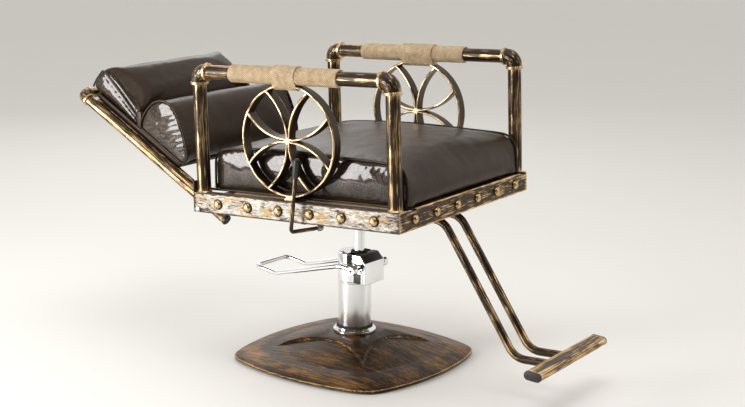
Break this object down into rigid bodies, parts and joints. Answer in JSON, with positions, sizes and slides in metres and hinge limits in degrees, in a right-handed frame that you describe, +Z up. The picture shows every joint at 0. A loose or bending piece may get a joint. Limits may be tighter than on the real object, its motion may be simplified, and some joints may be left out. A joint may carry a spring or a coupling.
{
  "type": "styling chair",
  "caption": "Pipe-framed salon chair with reclining padded back, spoked wheels under rope-bound armrests, T-bar footrest and foot-pumped hydraulic column on a domed base.",
  "frame": {"origin": "centre of the base's underside on the floor, on the axis of the pump tube", "axes": "+Z up; the sitter faces -Y, so -Y is the front with the footrest and +Y the reclined back; +X is the sitter's left and -X the side with the recline lever"},
  "size_m": [0.6382, 1.3175, 0.7816],
  "materials": {
    "aged_bronze": "near-black paint rubbed through to brushed gold along edges and in streaks",
    "base_bronze": "dark brown with bronze brush streaks and gold worn rim, satin",
    "chrome": "polished chrome",
    "satin_chrome": "satin chrome, brushed along the tube",
    "steel": "plain zinc-plated steel",
    "cast_iron": "black rough casting",
    "leather": "very dark brown glossy leather with fine creases",
    "jute": "pale tan jute cord, fibrous and matt",
    "black_plastic": "black, lightly satin",
    "rubber": "black matt rubber",
    "plywood": "plain plywood"
  },
  "bodies": {
    "base": {"base_cover": "base_bronze", "base_weight": "cast_iron", "base_foot_ring": "rubber", "pump_flange": "chrome", "pump_tube": "satin_chrome", "pump_cylinder": "steel", "pump_head": "chrome", "pump_head_insert": "black_plastic", "ram_gland": "rubber", "pedal_pin": "steel"},
    "pedal": {"pump_pedal": "chrome"},
    "ram": {"ram": "chrome"},
    "back": {"back_tube_left": "aged_bronze", "back_tube_right": "aged_bronze", "back_elbow_left": "aged_bronze", "back_elbow_right": "aged_bronze", "back_tube_cap_left": "black_plastic", "back_tube_cap_right": "black_plastic", "back_top_bar": "aged_bronze", "back_inner_frame": "aged_bronze", "back_board": "plywood", "head_pad": "leather", "back_bolster": "leather"},
    "lever": {"recline_lever": "aged_bronze", "recline_lever_grip": "black_plastic"},
    "spring_cylinder": {"gas_spring_cylinder": "steel"},
    "spring_rod": {"gas_spring_rod": "chrome"},
    "seat": {"frame_side_left": "aged_bronze", "frame_side_right": "aged_bronze", "frame_front": "aged_bronze", "frame_rear": "aged_bronze", "seat_beam_front": "aged_bronze", "seat_beam_rear": "aged_bronze", "seat_mount": "steel", "arm_post_front_left": "aged_bronze", "arm_post_rear_left": "aged_bronze", "arm_elbow_front_left": "aged_bronze", "arm_elbow_rear_left": "aged_bronze", "arm_rail_left": "aged_bronze", "wheel_ring_left": "aged_bronze", "wheel_arcs_left": "aged_bronze", "rope_wrap_left": "jute", "arm_post_front_right": "aged_bronze", "arm_post_rear_right": "aged_bronze", "arm_elbow_front_right": "aged_bronze", "arm_elbow_rear_right": "aged_bronze", "arm_rail_right": "aged_bronze", "wheel_ring_right": "aged_bronze", "wheel_arcs_right": "aged_bronze", "rope_wrap_right": "jute", "seat_board": "plywood", "seat_cushion": "leather", "footrest_tube_left": "aged_bronze", "footrest_tube_right": "aged_bronze", "footbar": "aged_bronze", "footbar_cap_left": "black_plastic", "footbar_cap_right": "black_plastic", "release_cable": "black_plastic", "pivot_bolt_left": "steel", "pivot_bolt_right": "steel"}
  },
  "joints": [
    {"name": "seat_lift", "type": "slide", "parent": "base", "child": "ram", "axis": [0, 0, 1], "range_m": [-0.08, 0.04]},
    {"name": "seat_swivel", "type": "hinge", "parent": "ram", "child": "seat", "pos_m": [-0.00084, -0.01197, 0.4], "axis": [0, 0, 1], "continuous": true},
    {"name": "back_recline", "type": "hinge", "parent": "seat", "child": "back", "pos_m": [-0.00084, 0.25909, 0.4022], "axis": [1, 0, 0], "range_deg": [0, 46]},
    {"name": "pump_pedal_press", "type": "hinge", "parent": "base", "child": "pedal", "pos_m": [-0.00279, -0.0399, 0.242], "axis": [-0.9976, 0.0698, 0], "range_deg": [0, 16], "stiffness_Nm_per_rad": 5, "springref_deg": -28.65},
    {"name": "recline_lever_pull", "type": "hinge", "parent": "seat", "child": "lever", "pos_m": [-0.27551, -0.04421, 0.38823], "axis": [0.9859, -0.156, -0.06], "range_deg": [0, 15], "stiffness_Nm_per_rad": 0.6, "springref_deg": -11.46},
    {"name": "gas_spring_swing", "type": "hinge", "parent": "seat", "child": "spring_cylinder", "pos_m": [0.05916, -0.05152, 0.37376], "axis": [1, 0, 0], "range_deg": [-1.8, 0.2]},
    {"name": "gas_spring_stroke", "type": "slide", "parent": "spring_cylinder", "child": "spring_rod", "axis": [0, 0.9992, -0.0399], "range_m": [0, 0.0385]}
  ],
  "couplings": [
    {"joint": "gas_spring_swing", "follows": "back_recline", "ratio": -0.032584},
    {"joint": "gas_spring_stroke", "follows": "back_recline", "m_per_rad": 0.047684}
  ]
}
